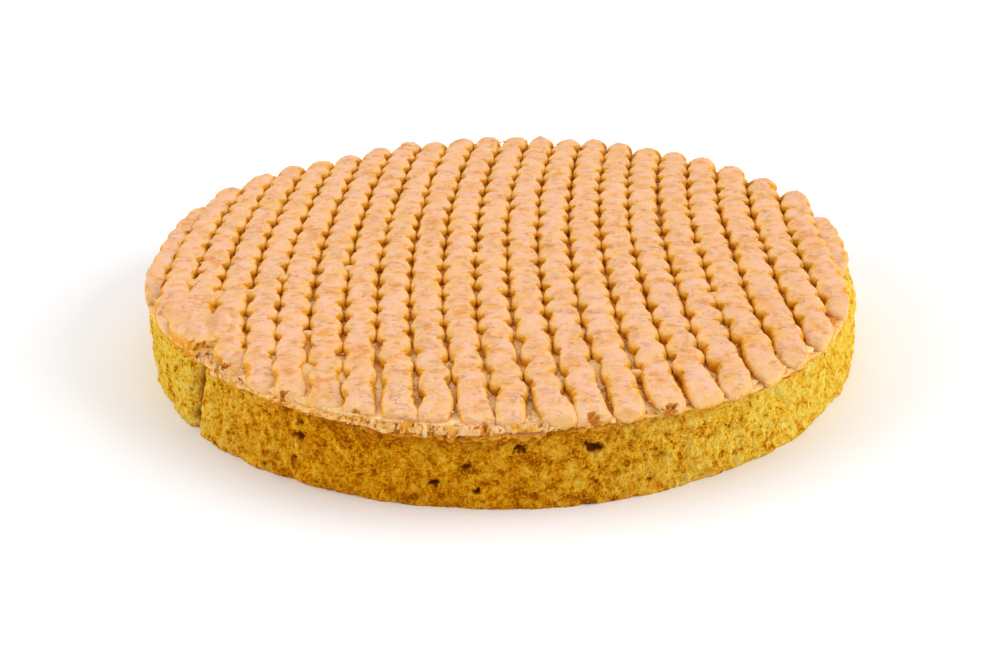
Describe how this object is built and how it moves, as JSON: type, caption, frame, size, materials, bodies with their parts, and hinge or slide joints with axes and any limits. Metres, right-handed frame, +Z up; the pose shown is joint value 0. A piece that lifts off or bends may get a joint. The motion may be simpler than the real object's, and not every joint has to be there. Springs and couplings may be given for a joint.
{
  "type": "macaroon cake",
  "caption": "Round low sponge cake topped with side-by-side piped ropes of browned macaroon that bow gently from back to front; stands flat on its base.",
  "frame": {"origin": "middle of the cake's flat underside, on the surface it stands on", "axes": "+Z up, through the middle of the cake; -Y towards the front of the picture, where the ropes end; +X to its right"},
  "size_m": [0.2794, 0.2817, 0.0384],
  "materials": {
    "baked_sponge": "matte open crumb of a baked sponge, golden yellow with browned spots and dark pores",
    "baked_macaroon": "matte to softly satin baked macaroon, pale peach tan with amber creases, small browned spots and fine cracks"
  },
  "bodies": {
    "root": {"sponge": "baked_sponge", "macaroon_topping": "baked_macaroon"}
  },
  "joints": []
}
